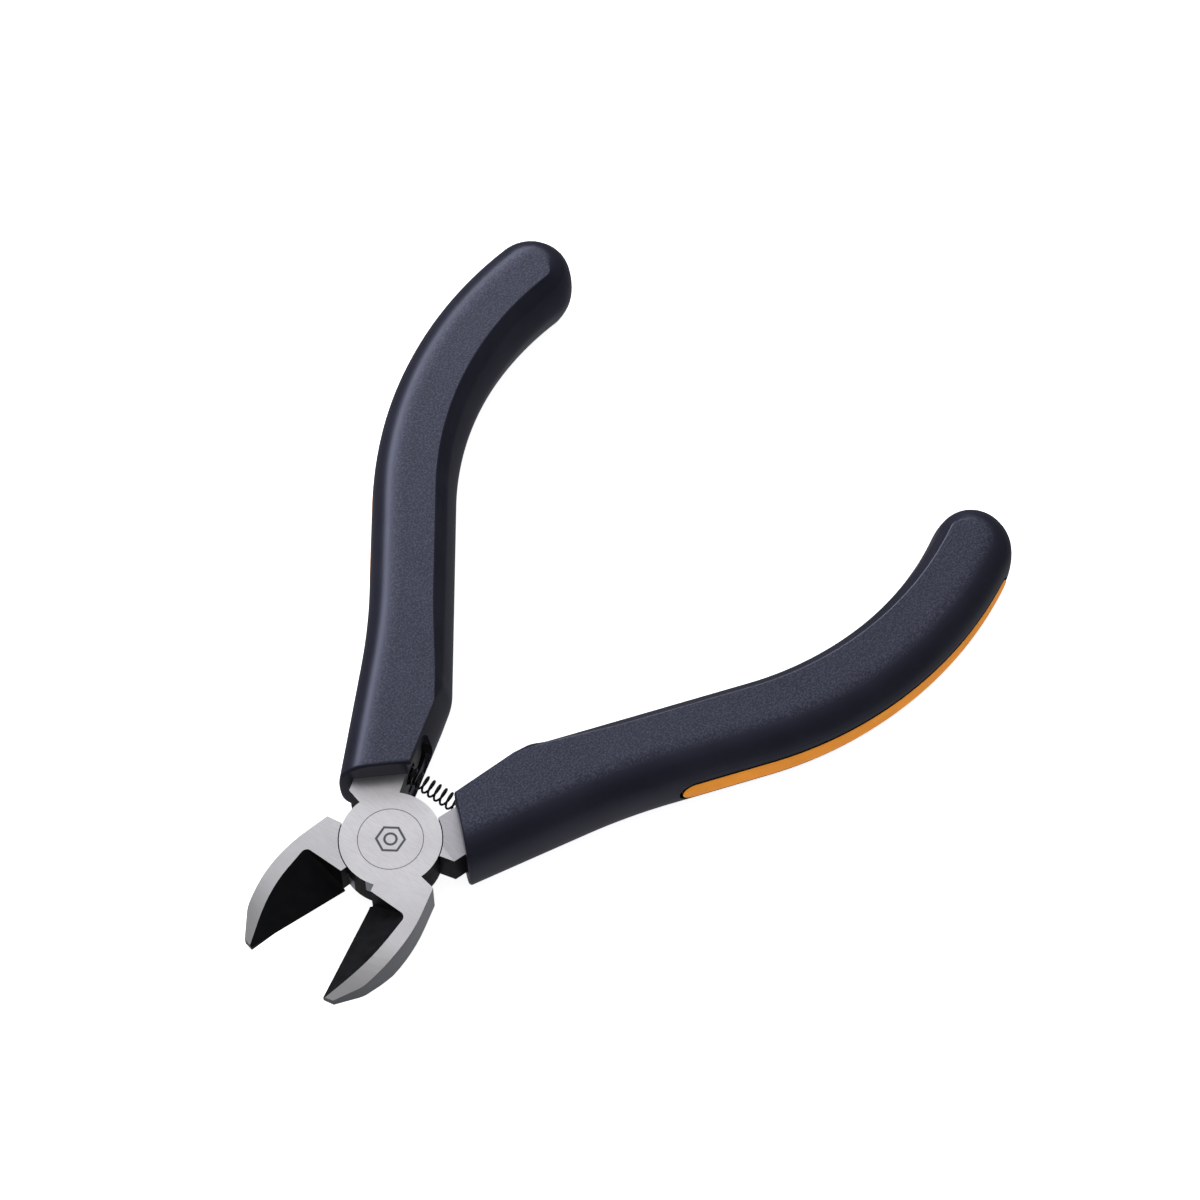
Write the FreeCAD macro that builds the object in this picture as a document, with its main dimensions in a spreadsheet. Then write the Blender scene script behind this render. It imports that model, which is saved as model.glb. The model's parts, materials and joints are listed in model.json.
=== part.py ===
"""Flush cutter: two lap-jointed forged halves on a flush rivet, with a return spring and inlaid grips.

Each half is drawn with the jaws closed: the pivot axis is the drawing's origin, +X points at the jaw
tips, and the half's handle and jaw lie on opposite sides of the X axis. Height zero is the middle of
the steel. The halves are then placed turned apart to the angle at which the spring holds them.
"""
import FreeCAD
import Part
import math
import os
import Sketcher

# Driving dimensions in millimetres, and angles in degrees: name, value, meaning.
DIMENSIONS = [
    ("pivot_x", 34.76, "pivot axis in front of the middle of the whole tool"),
    ("half_opening", 14.9, "angle of each half from closed, with the spring at rest"),
    ("steel_thick", 6.2, "thickness of the forged steel"),
    ("lap_gap", 0.04, "gap between the two lapped discs"),
    ("disc_radius", 7.26, "radius of each lapped disc"),
    ("disc_gap", 0.16, "gap round the edge of each disc"),
    ("shank_notch_x", -3.65, "where the shank's outer side leaves the disc"),
    ("shank_notch_y", 6.2, ""),
    ("shank_corner_x", -4.85, "outer corner of the shank"),
    ("shank_corner_y", 8.35, ""),
    ("shank_inner_x", -7.0, "where the shank's inner side leaves the disc"),
    ("shank_inner_y", 1.6, "height of the shank's inner side above the closing line"),
    ("jaw_notch_x", 3.7, "where the jaw's outer side leaves the disc"),
    ("jaw_notch_y", 6.1, ""),
    ("jaw_corner_x", 4.75, "outer corner of the jaw"),
    ("jaw_corner_y", 8.42, ""),
    ("jaw_bow_x", 14.7, "corner that the jaw's outer side is rounded from"),
    ("jaw_bow_y", 8.44, ""),
    ("jaw_bow_radius", 25.4, "radius of the jaw's outer side"),
    ("jaw_cheek_x", 21.45, "corner that the jaw's cheek is rounded from"),
    ("jaw_cheek_y", 4.88, ""),
    ("jaw_cheek_radius", 5.0, "radius of the jaw's cheek"),
    ("tip_x", 24.5, "jaw tip"),
    ("tip_width", 1.55, "width of the blunt end of the tip"),
    ("edge_clear", 0.03, "cutting edge's distance from the closing line"),
    ("root_x", 8.2, "where the cutting edge starts"),
    ("shoulder_x", 8.4, "end of the shoulder behind the cutting edge"),
    ("shoulder_clear", 0.5, "shoulder's distance from the closing line"),
    ("shoulder_inner_x", 7.1, "where the shoulder leaves the disc"),
    ("facet_run", 0.2528, "slope of the ground facet along the jaw"),
    ("facet_fall", 1.122, "slope of the ground facet down the jaw"),
    ("root_lean", 0.274, "lean of the wall at the back of the facet"),
    ("facet_corner", 0.9, "radius between the facet and that wall"),
    ("nose_start_x", 11.5, "back of the cut that lowers the nose, behind its rounding"),
    ("nose_x", 17.9, "where the top face starts to fall to the tip"),
    ("nose_slope", 0.34, "fall of the nose"),
    ("nose_radius", 24.0, "radius where the nose starts to fall"),
    ("heel_slope", 0.27, "lean of the ground underside of the jaw"),
    ("heel_end_x", 20.5, "where that underside stops rising to the cutting edge"),
    ("rivet_shank", 3.0, "radius of the rivet's shank"),
    ("rivet_face", 4.67, "radius of the rivet's flush heads"),
    ("rivet_clear", 0.03, "running clearance of the rivet"),
    ("spring_back", 11.65, "spring seat behind the pivot axis"),
    ("seat_radius", 1.65, "radius of the spring's seats"),
    ("seat_depth", 1.8, "depth of the spring's seats"),
    ("coil_radius", 1.14, "radius of the spring's coil, to the middle of the wire"),
    ("wire_radius", 0.17, "radius of the spring's wire"),
    ("coil_pitch", 1.03, "pitch of the spring at rest"),
    ("coil_turns", 10.5, "turns of the spring"),
    ("coil_x", 10.68, "spring axis behind the pivot axis, at rest"),
    ("bow_x", -71.3, "centre of the handle's bow"),
    ("bow_y", -30.8, ""),
    ("bow_front_angle", 68.8, "direction from that centre to where the bow starts"),
    ("bow_back_angle", 115.4, "direction from that centre to where the bow ends"),
    ("tang_outer_radius", 54.1, "outer side of the steel tang round the bow"),
    ("tang_inner_radius", 49.2, "inner side of the steel tang round the bow"),
    ("tang_end_angle", 103.0, "direction from the bow's centre to the tang's end"),
    ("tang_tail", 3.0, "straight end of the tang"),
    ("tang_end_radius", 1.2, "rounding of the tang's end"),
    ("tang_bend_along", 28.1, "tang's outer bend ahead of the bow"),
    ("tang_bend_radius", 20.0, "radius of the tang's outer bend"),
    ("tang_inner_along", 34.6, "tang's inner bend ahead of the bow"),
    ("tang_inner_bend", 8.0, "radius of the tang's inner bend"),
    ("grip_thick", 13.64, "thickness of the grip"),
    ("grip_outer_radius", 58.75, "outer side of the grip round the bow"),
    ("grip_inner_radius", 46.35, "inner side of the grip round the bow"),
    ("grip_edge_round", 4.2, "rounding of the grip's long edges"),
    ("grip_front_inner_x", -11.0, "front of the grip at its inner side"),
    ("grip_inner_y", 0.2, "grip's inner side above the closing line"),
    ("grip_front_outer_x", -5.7, "front of the grip at its outer side"),
    ("grip_front_outer_y", 10.5, ""),
    ("grip_waist_along", 21.5, "grip's waist ahead of the bow"),
    ("grip_waist_radius", 90.0, "radius of the grip's waist"),
    ("grip_knuckle_along", 32.6, "grip's inner bend ahead of the bow"),
    ("grip_knuckle_radius", 6.0, "radius of the grip's inner bend"),
    ("grip_heel_along", 4.33, "outer corner of the grip's end past the bow"),
    ("grip_heel_radius", 6.35, "rounding of that corner"),
    ("grip_end_x", -100.7, "end of the grip"),
    ("grip_toe_y", 6.32, "inner corner of the grip's end"),
    ("grip_end_radius", 5.97, "rounding of that corner"),
    ("grip_toe_along", 0.3, "end of the grip's inner side past the bow"),
    ("grip_toe_radius", 5.2, "rounding into the grip's inner side"),
    ("notch_x", -16.2, "back of the notch that clears the spring"),
    ("notch_height", 11.8, "height of that notch"),
    ("notch_radius", 1.6, "rounding of that notch"),
    ("notch_depth", 1.6, "how far that notch reaches above the closing line"),
    ("window_depth", 2.8, "how far its middle, beside the steel, reaches above that line"),
    ("inlay_height", 4.2, "height of the inlay"),
    ("inlay_depth", 2.0, "depth of the inlay"),
    ("inlay_proud", 0.1, "inlay's outer side beyond the grip's outer side"),
    ("inlay_drop", 1.2, "inlay's middle below the grip's middle"),
    ("inlay_along", 13.4, "inlay's front ahead of the bow"),
    ("inlay_end_angle", 115.3, "direction from the bow's centre to the inlay's end"),
    ("inlay_tail", 0.4, "straight end of the inlay"),
    ("inlay_gap", 0.1, "gap round the inlay"),
]
CUT_MARGIN = 2.0      # how far a cut runs past the face that it leaves through
FAR_X = 28.0          # beyond the jaw tips
FAR_Y = 12.0          # beyond the side of a jaw


class Size:
    """A number together with the spreadsheet formula that gives it."""

    def __init__(self, number, formula):
        self.number = number
        self.formula = formula

    def __add__(self, other):
        other = as_size(other)
        return Size(self.number + other.number, f"({self.formula} + {other.formula})")

    def __sub__(self, other):
        other = as_size(other)
        return Size(self.number - other.number, f"({self.formula} - {other.formula})")

    def __mul__(self, other):
        other = as_size(other)
        return Size(self.number * other.number, f"({self.formula} * {other.formula})")

    def __truediv__(self, other):
        other = as_size(other)
        return Size(self.number / other.number, f"({self.formula} / {other.formula})")


def as_size(value):
    return value if isinstance(value, Size) else Size(float(value), f"({value})")


def cosine(angle):
    return Size(math.cos(math.radians(angle.number)), f"cos({angle.formula} * 1 deg)")


def sine(angle):
    return Size(math.sin(math.radians(angle.number)), f"sin({angle.formula} * 1 deg)")


doc = FreeCAD.newDocument("FlushCutter")
sheet = doc.addObject("Spreadsheet::Sheet", "Dimensions")
sizes = {}
for row, (alias, value, meaning) in enumerate(DIMENSIONS, start=1):
    sheet.set(f"A{row}", alias)
    sheet.set(f"B{row}", str(value))
    sheet.set(f"C{row}", meaning)
    sheet.setAlias(f"B{row}", alias)
    sizes[alias] = Size(float(value), f"Dimensions.{alias}")
doc.recompute()


def size(alias):
    return sizes[alias]


HALF_STEEL = size("steel_thick") / 2
HALF_GRIP = size("grip_thick") / 2
HALF_LAP_GAP = size("lap_gap") / 2


# ---- sketching helpers ---------------------------------------------------------------------------

def new_body(label):
    body = doc.addObject("PartDesign::Body", label)
    body.Label = label
    return body


def new_sketch(body, name, role, offset=None):
    """A sketch on one of the body's own origin planes, or parallel to it at an offset."""
    plane = [feature for feature in body.Origin.OriginFeatures if feature.Role == role][0]
    sketch = body.newObject("Sketcher::SketchObject", name)
    sketch.AttachmentSupport = (plane, [""])
    sketch.MapMode = "FlatFace"
    if offset is not None:
        sketch.AttachmentOffset = FreeCAD.Placement(
            FreeCAD.Vector(0, 0, offset.number), FreeCAD.Rotation())
        sketch.setExpression("AttachmentOffset.Base.z", offset.formula)
    return sketch


def bind(sketch, kind, *arguments, value):
    """Adds a dimension to the sketch and ties it to its formula."""
    index = sketch.addConstraint(Sketcher.Constraint(kind, *arguments, value.number))
    sketch.setExpression(f"Constraints[{index}]", value.formula)


def bind_point(sketch, geometry, position, point):
    bind(sketch, "DistanceX", -1, 1, geometry, position, value=point[0])
    bind(sketch, "DistanceY", -1, 1, geometry, position, value=point[1])


def draw_circle(sketch, centre, radius):
    middle = FreeCAD.Vector(centre[0].number, centre[1].number, 0)
    circle = sketch.addGeometry(Part.Circle(middle, FreeCAD.Vector(0, 0, 1), radius.number))
    bind_point(sketch, circle, 3, centre)
    bind(sketch, "Radius", circle, value=radius)


def draw_outline(sketch, corners):
    """Draws a closed outline through corners (x, y) or, where one is rounded, (x, y, radius)."""
    points = [FreeCAD.Vector(corner[0].number, corner[1].number, 0) for corner in corners]
    starts = []
    ends = []
    for index, corner in enumerate(corners):
        point = points[index]
        before = (points[index - 1] - point).normalize()
        after = (points[(index + 1) % len(points)] - point).normalize()
        reach = 0.0
        if len(corner) == 3:
            reach = corner[2].number / math.tan(before.getAngle(after) / 2)
        ends.append(point + before * reach)
        starts.append(point + after * reach)
    lines = []
    for index in range(len(points)):
        segment = Part.LineSegment(starts[index], ends[(index + 1) % len(points)])
        lines.append(sketch.addGeometry(segment))
    for index, corner in enumerate(corners):
        line_in = lines[index - 1]
        line_out = lines[index]
        if len(corner) == 2:
            sketch.addConstraint(Sketcher.Constraint("Coincident", line_in, 2, line_out, 1))
            bind_point(sketch, line_out, 1, corner)
            continue
        draw_rounding(sketch, points[index], ends[index], starts[index], corner, line_in, line_out)


def draw_rounding(sketch, point, arc_start, arc_end, corner, line_in, line_out):
    """Rounds one corner of an outline, with its sharp corner kept as a construction point."""
    radius = corner[2]
    inwards = ((arc_start - point) + (arc_end - point)).normalize()
    to_centre = math.hypot((arc_start - point).Length, radius.number)
    centre = point + inwards * to_centre
    circle = Part.Circle(centre, FreeCAD.Vector(0, 0, 1), radius.number)
    turn = (arc_start - centre).cross(arc_end - centre).z
    first, last = (arc_start, arc_end) if turn > 0 else (arc_end, arc_start)
    arc = sketch.addGeometry(Part.ArcOfCircle(circle, circle.parameter(first), circle.parameter(last)))
    enter, leave = (1, 2) if turn > 0 else (2, 1)
    sketch.addConstraint(Sketcher.Constraint("Tangent", line_in, 2, arc, enter))
    sketch.addConstraint(Sketcher.Constraint("Tangent", arc, leave, line_out, 1))
    bind(sketch, "Radius", arc, value=radius)
    mark = sketch.addGeometry(Part.Point(point), True)
    sketch.addConstraint(Sketcher.Constraint("PointOnObject", mark, 1, line_in))
    sketch.addConstraint(Sketcher.Constraint("PointOnObject", mark, 1, line_out))
    bind_point(sketch, mark, 1, corner)


def add_pad(body, name, sketch, length, both_ways=False):
    pad = body.newObject("PartDesign::Pad", name)
    pad.Profile = sketch
    pad.Length = length.number
    pad.setExpression("Length", length.formula)
    pad.Midplane = both_ways
    doc.recompute()
    return pad


def add_pocket(body, name, sketch, length, both_ways=False, reverse=False):
    before = body.Shape.Volume
    pocket = body.newObject("PartDesign::Pocket", name)
    pocket.Profile = sketch
    pocket.Length = length.number
    pocket.setExpression("Length", length.formula)
    pocket.Midplane = both_ways
    pocket.Reversed = reverse
    doc.recompute()
    require_less(body, name, before)


def add_subtractive_loft(body, name, sections):
    before = body.Shape.Volume
    loft = body.newObject("PartDesign::SubtractiveLoft", name)
    loft.Profile = sections[0]
    loft.Sections = sections[1:]
    loft.Ruled = True
    doc.recompute()
    require_less(body, name, before)


def require_less(body, name, before):
    if body.Shape.Volume >= before:
        raise RuntimeError(f"{body.Label}: {name} cut nothing")


def on_side(side, points):
    """Mirrors an outline's corners to the side of the closing line that a half's handle is on."""
    return [(point[0], point[1] * side, *point[2:]) for point in points]


def place(body, turn):
    """Stands a half on the pivot, turned open by its share of the opening."""
    body.Placement = FreeCAD.Placement(
        FreeCAD.Vector(size("pivot_x").number, 0, HALF_GRIP.number),
        FreeCAD.Rotation(FreeCAD.Vector(0, 0, 1), turn * size("half_opening").number))
    body.setExpression("Placement.Base.x", size("pivot_x").formula)
    body.setExpression("Placement.Base.z", HALF_GRIP.formula)
    body.setExpression("Placement.Rotation.Angle", (size("half_opening") * turn).formula)


# ---- the handle's bow: concentric arcs between a straight front stretch and a straight end --------

def bow_point(radius, angle, along):
    """A point at a radius and angle round the bow, moved along its tangent towards the end."""
    x = size("bow_x") + radius * cosine(angle) - along * sine(angle)
    y = size("bow_y") + radius * sine(angle) + along * cosine(angle)
    return (x, y)


def bow_corner(radius, start, end):
    """The corner from which a stretch of the bow is rounded."""
    middle = (start + end) / 2
    reach = radius / cosine((end - start) / 2)
    return (size("bow_x") + reach * cosine(middle), size("bow_y") + reach * sine(middle), radius)


# ---- steel halves --------------------------------------------------------------------------------

def steel_outline(side):
    """Tang, shank and jaw of one half in plan, joined across the inside of its disc."""
    zero = as_size(0)
    front = size("bow_front_angle")
    end = size("tang_end_angle")
    outer = size("tang_outer_radius")
    inner = size("tang_inner_radius")
    corners = [
        (size("shank_notch_x"), size("shank_notch_y")),
        (size("shank_corner_x"), size("shank_corner_y")),
        (*bow_point(outer, front, zero - size("tang_bend_along")), size("tang_bend_radius")),
        bow_corner(outer, front, end),
        (*bow_point(outer, end, size("tang_tail")), size("tang_end_radius")),
        (*bow_point(inner, end, size("tang_tail")), size("tang_end_radius")),
        bow_corner(inner, front, end),
        (*bow_point(inner, front, zero - size("tang_inner_along")), size("tang_inner_bend")),
        (size("shank_inner_x"), size("shank_inner_y")),
        (size("jaw_notch_x"), zero - size("jaw_notch_y")),
        (size("jaw_corner_x"), zero - size("jaw_corner_y")),
        (size("jaw_bow_x"), zero - size("jaw_bow_y"), size("jaw_bow_radius")),
        (size("jaw_cheek_x"), zero - size("jaw_cheek_y"), size("jaw_cheek_radius")),
        (size("tip_x"), zero - size("tip_width")),
        (size("tip_x"), zero - size("edge_clear")),
        (size("shoulder_x"), zero - size("edge_clear")),
        (size("shoulder_x"), zero - size("shoulder_clear")),
        (size("shoulder_inner_x"), zero - size("shoulder_clear")),
    ]
    return on_side(side, corners)


def facet_outline(side, height):
    """Back wall and facet of the jaw's recess at one height, with far corners outside the jaw."""
    wall_x = size("root_x")
    lean = size("root_lean")
    run = size("facet_run")
    fall = size("facet_fall") * (height + HALF_STEEL)
    corner_y = as_size(0) - fall / (run * lean + 1)
    corner_x = wall_x - lean * corner_y
    far = as_size(FAR_X)
    far_y = run * (far - wall_x) - fall
    out = as_size(FAR_Y)
    corners = [
        (corner_x, corner_y, size("facet_corner")),
        (far, far_y),
        (far, out),
        (wall_x - lean * out, out),
    ]
    return on_side(side, corners)


def heel_outline(side, edge_x):
    """Section of the cut that grinds the jaw's underside, level with the cutting edge at one place."""
    rise = size("facet_run") / size("facet_fall") * (edge_x - size("root_x"))
    base = as_size(0) - HALF_STEEL + rise
    lean = size("heel_slope")
    inner = as_size(CUT_MARGIN)
    outer = as_size(0) - as_size(FAR_Y)
    floor = as_size(0) - HALF_STEEL - lean * FAR_Y - CUT_MARGIN
    corners = [
        (inner, base + lean * inner),
        (outer, base + lean * outer),
        (outer, floor),
        (inner, floor),
    ]
    return [(y * side, z) for y, z in corners]


def nose_outline():
    """Side view of the cut that lowers the top face towards the tip."""
    top = HALF_STEEL
    fall = size("nose_slope") * (as_size(FAR_X) - size("nose_x"))
    start = size("nose_start_x")
    return [
        (start, top + CUT_MARGIN),
        (start, top),
        (size("nose_x"), top, size("nose_radius")),
        (as_size(FAR_X), top - fall),
        (as_size(FAR_X), top + CUT_MARGIN),
    ]


def rivet_profile(clearance, overrun):
    """Half section of the rivet, or of the hole for it, with a flush cone at each face."""
    shank = size("rivet_shank") + clearance
    face = size("rivet_face") + clearance
    cone_foot = HALF_STEEL - (size("rivet_face") - size("rivet_shank"))
    top = HALF_STEEL + overrun
    zero = as_size(0)
    upper = [(shank, cone_foot), (face, HALF_STEEL)]
    if overrun:
        upper.append((face, top))
    lower = [(x, zero - z) for x, z in reversed(upper)]
    return [(zero, zero - top), *lower, *upper, (zero, top)]


def add_groove(body, name, sketch):
    before = body.Shape.Volume
    groove = body.newObject("PartDesign::Groove", name)
    groove.Profile = sketch
    groove.ReferenceAxis = (sketch, ["V_Axis"])
    groove.Angle = 360
    doc.recompute()
    require_less(body, name, before)


def make_steel_half(label, side, layer):
    """One forging: side is the side of its handle, layer is +1 where its disc is on top."""
    body = new_body(label)
    zero = as_size(0)

    blank = new_sketch(body, f"{label}_plan", "XY_Plane")
    draw_outline(blank, steel_outline(side))
    add_pad(body, f"{label}_forging", blank, size("steel_thick"), both_ways=True)

    disc = new_sketch(body, f"{label}_disc_plan", "XY_Plane", HALF_LAP_GAP * layer)
    draw_circle(disc, (zero, zero), size("disc_radius"))
    disc_pad = add_pad(body, f"{label}_disc", disc, HALF_STEEL - HALF_LAP_GAP)
    disc_pad.Reversed = layer < 0
    doc.recompute()

    lap = new_sketch(body, f"{label}_lap_plan", "XY_Plane", HALF_LAP_GAP * layer)
    draw_circle(lap, (zero, zero), size("disc_radius") + size("disc_gap"))
    depth = HALF_STEEL + HALF_LAP_GAP + CUT_MARGIN
    add_pocket(body, f"{label}_lap", lap, depth, reverse=layer < 0)

    recess = []
    for name, height in (("foot", zero - HALF_STEEL), ("head", HALF_STEEL + CUT_MARGIN)):
        section = new_sketch(body, f"{label}_facet_{name}", "XY_Plane", height)
        draw_outline(section, facet_outline(side, height))
        recess.append(section)
    add_subtractive_loft(body, f"{label}_facet", recess)

    heel = []
    back = size("root_x")
    bend = size("heel_end_x")
    places = {"back": (back, back), "bend": (bend, bend), "front": (as_size(FAR_X), bend)}
    for name, (station, edge_x) in places.items():
        section = new_sketch(body, f"{label}_heel_{name}", "YZ_Plane", station)
        draw_outline(section, heel_outline(side, edge_x))
        heel.append(section)
    add_subtractive_loft(body, f"{label}_heel", heel)

    nose = new_sketch(body, f"{label}_nose_side", "XZ_Plane")
    draw_outline(nose, nose_outline())
    add_pocket(body, f"{label}_nose", nose, as_size(2 * FAR_Y), both_ways=True)

    hole = new_sketch(body, f"{label}_hole_section", "XZ_Plane")
    draw_outline(hole, rivet_profile(size("rivet_clear"), CUT_MARGIN))
    add_groove(body, f"{label}_hole", hole)

    seat = new_sketch(body, f"{label}_seat_plan", "XZ_Plane")
    draw_circle(seat, (zero - size("spring_back"), zero), size("seat_radius"))
    reach = size("shank_inner_y") + size("seat_depth")
    add_pocket(body, f"{label}_seat", seat, reach, reverse=side < 0)

    place(body, -side)
    return body


# ---- rivet and spring ----------------------------------------------------------------------------

def make_rivet(label, turn):
    body = new_body(label)
    section = new_sketch(body, f"{label}_section", "XZ_Plane")
    draw_outline(section, rivet_profile(as_size(0), 0))
    turned = body.newObject("PartDesign::Revolution", f"{label}_turned")
    turned.Profile = section
    turned.ReferenceAxis = (section, ["V_Axis"])
    turned.Angle = 360
    doc.recompute()
    place(body, turn)
    return body


def make_spring(label):
    """A plain compression spring across the tool, its ends standing in the two seats."""
    body = new_body(label)
    wire = new_sketch(body, f"{label}_wire", "XZ_Plane")
    draw_circle(wire, (size("coil_radius"), as_size(0)), size("wire_radius"))
    coil = body.newObject("PartDesign::AdditiveHelix", f"{label}_coil")
    coil.Profile = wire
    coil.ReferenceAxis = (wire, ["V_Axis"])
    coil.Mode = "pitch-turns-angle"
    coil.Pitch = size("coil_pitch").number
    coil.Turns = size("coil_turns").number
    coil.setExpression("Pitch", size("coil_pitch").formula)
    coil.setExpression("Turns", size("coil_turns").formula)
    doc.recompute()
    half_length = size("coil_pitch") * size("coil_turns") / 2
    spring_x = size("pivot_x") - size("coil_x")
    body.Placement = FreeCAD.Placement(
        FreeCAD.Vector(spring_x.number, -half_length.number, HALF_GRIP.number),
        FreeCAD.Rotation(FreeCAD.Vector(1, 0, 0), -90))
    body.setExpression("Placement.Base.x", spring_x.formula)
    body.setExpression("Placement.Base.y", f"-{half_length.formula}")
    body.setExpression("Placement.Base.z", HALF_GRIP.formula)
    return body


# ---- grips and inlays ----------------------------------------------------------------------------

def grip_outline(side):
    """Plan of one grip at the middle of its thickness."""
    zero = as_size(0)
    front = size("bow_front_angle")
    back = size("bow_back_angle")
    outer = size("grip_outer_radius")
    inner = size("grip_inner_radius")
    corners = [
        (size("grip_front_inner_x"), size("grip_inner_y")),
        (size("grip_front_outer_x"), size("grip_front_outer_y")),
        (*bow_point(outer, front, zero - size("grip_waist_along")), size("grip_waist_radius")),
        bow_corner(outer, front, back),
        (*bow_point(outer, back, size("grip_heel_along")), size("grip_heel_radius")),
        (size("grip_end_x"), size("grip_toe_y"), size("grip_end_radius")),
        (*bow_point(inner, back, size("grip_toe_along")), size("grip_toe_radius")),
        bow_corner(inner, front, back),
        (*bow_point(inner, front, zero - size("grip_knuckle_along")), size("grip_knuckle_radius")),
    ]
    return on_side(side, corners)


def inlay_outline(side, gap):
    """Plan of one inlay, or with a gap, of the groove that it lies in."""
    zero = as_size(0)
    front = size("bow_front_angle")
    end = size("inlay_end_angle")
    outer = size("grip_outer_radius") + size("inlay_proud")
    if gap:
        outer = size("grip_outer_radius") + CUT_MARGIN
    inner = size("grip_outer_radius") - size("inlay_depth") - gap
    ahead = zero - size("inlay_along") - gap
    tail = size("inlay_tail") + gap
    corners = [
        bow_point(outer, front, ahead),
        bow_corner(outer, front, end),
        bow_point(outer, end, tail),
        bow_point(inner, end, tail),
        bow_corner(inner, front, end),
        bow_point(inner, front, ahead),
    ]
    return on_side(side, corners)


def notch_outline(height):
    """Side view of the notch that clears the spring, open to the grip's front."""
    half = height / 2
    zero = as_size(0)
    return [
        (size("notch_x"), half, size("notch_radius")),
        (size("notch_x"), zero - half, size("notch_radius")),
        (zero, zero - half),
        (zero, half),
    ]


def long_edges(shape):
    """Names of the level edges of a grip that its rounding runs along: all but the front end's."""
    front_x = size("grip_front_outer_x").number
    names = []
    for index, edge in enumerate(shape.Edges, start=1):
        level = edge.BoundBox.ZLength < 1e-6
        at_front = edge.BoundBox.XMax > front_x - 1e-3 and edge.BoundBox.XLength < FAR_Y / 2
        if level and not at_front:
            names.append(f"Edge{index}")
    return names


def make_grip(label, side):
    body = new_body(label)
    plan = new_sketch(body, f"{label}_plan", "XY_Plane")
    draw_outline(plan, grip_outline(side))
    block = add_pad(body, f"{label}_block", plan, size("grip_thick"), both_ways=True)

    rounding = body.newObject("PartDesign::Fillet", f"{label}_rounding")
    rounding.Base = (block, long_edges(block.Shape))
    rounding.Radius = size("grip_edge_round").number
    rounding.setExpression("Radius", size("grip_edge_round").formula)
    doc.recompute()

    bore = new_sketch(body, f"{label}_tang_plan", "XY_Plane")
    draw_outline(bore, steel_outline(side))
    add_pocket(body, f"{label}_tang_bore", bore, size("steel_thick"), both_ways=True)

    for cut, height, depth in (("notch", "notch_height", "notch_depth"),
                               ("window", "steel_thick", "window_depth")):
        opening = new_sketch(body, f"{label}_{cut}_side", "XZ_Plane")
        draw_outline(opening, notch_outline(size(height)))
        add_pocket(body, f"{label}_{cut}", opening, size(depth), reverse=side < 0)

    groove = new_sketch(body, f"{label}_groove_plan", "XY_Plane", as_size(0) - size("inlay_drop"))
    draw_outline(groove, inlay_outline(side, size("inlay_gap")))
    height = size("inlay_height") + size("inlay_gap") * 2
    add_pocket(body, f"{label}_groove", groove, height, both_ways=True)

    place(body, -side)
    return body


def make_inlay(label, side):
    body = new_body(label)
    plan = new_sketch(body, f"{label}_plan", "XY_Plane", as_size(0) - size("inlay_drop"))
    draw_outline(plan, inlay_outline(side, 0))
    add_pad(body, f"{label}_strip", plan, size("inlay_height"), both_ways=True)
    place(body, -side)
    return body


# ---- the assembly --------------------------------------------------------------------------------

def check(bodies):
    """Stops if any feature failed or any piece isn't one valid solid."""
    for item in doc.Objects:
        if "Invalid" in item.State or "Error" in item.State:
            raise RuntimeError(f"{item.Label} failed: {item.State}")
    for body in bodies:
        shape = body.Shape
        if shape.isNull() or not shape.isValid() or len(shape.Solids) != 1:
            raise RuntimeError(f"{body.Label} is not one valid solid")


UPPER_SIDE = -1
LOWER_SIDE = 1
pieces = [
    make_steel_half("upper_half", UPPER_SIDE, 1),
    make_steel_half("lower_half", LOWER_SIDE, -1),
    make_rivet("pivot_rivet", -LOWER_SIDE),
    make_spring("return_spring"),
    make_grip("upper_grip", UPPER_SIDE),
    make_grip("lower_grip", LOWER_SIDE),
    make_inlay("upper_inlay", UPPER_SIDE),
    make_inlay("lower_inlay", LOWER_SIDE),
]
doc.recompute()
check(pieces)
os.makedirs("parts", exist_ok=True)
for piece in pieces:
    piece.Shape.exportStep(f"parts/{piece.Label}.step")
    box = piece.Shape.optimalBoundingBox()
    print(f"{piece.Label}: {piece.Shape.Volume:.1f} mm3, x {box.XMin:.2f} to {box.XMax:.2f},"
          f" y {box.YMin:.2f} to {box.YMax:.2f}, z {box.ZMin:.2f} to {box.ZMax:.2f}")
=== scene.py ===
"""Looks of the flush cutter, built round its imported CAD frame.

Each half is shaped in its own closed frame, in millimetres: the pivot axis is the origin, +X points at
the jaw tips, the handle lies on the +Y side and height zero is the middle of the steel. A half's
pieces are then mirrored to their side, turned open and moved to the pivot that the frame gives.
"""
import json
import math

import bmesh
import bpy
from mathutils import Matrix, Vector


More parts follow.
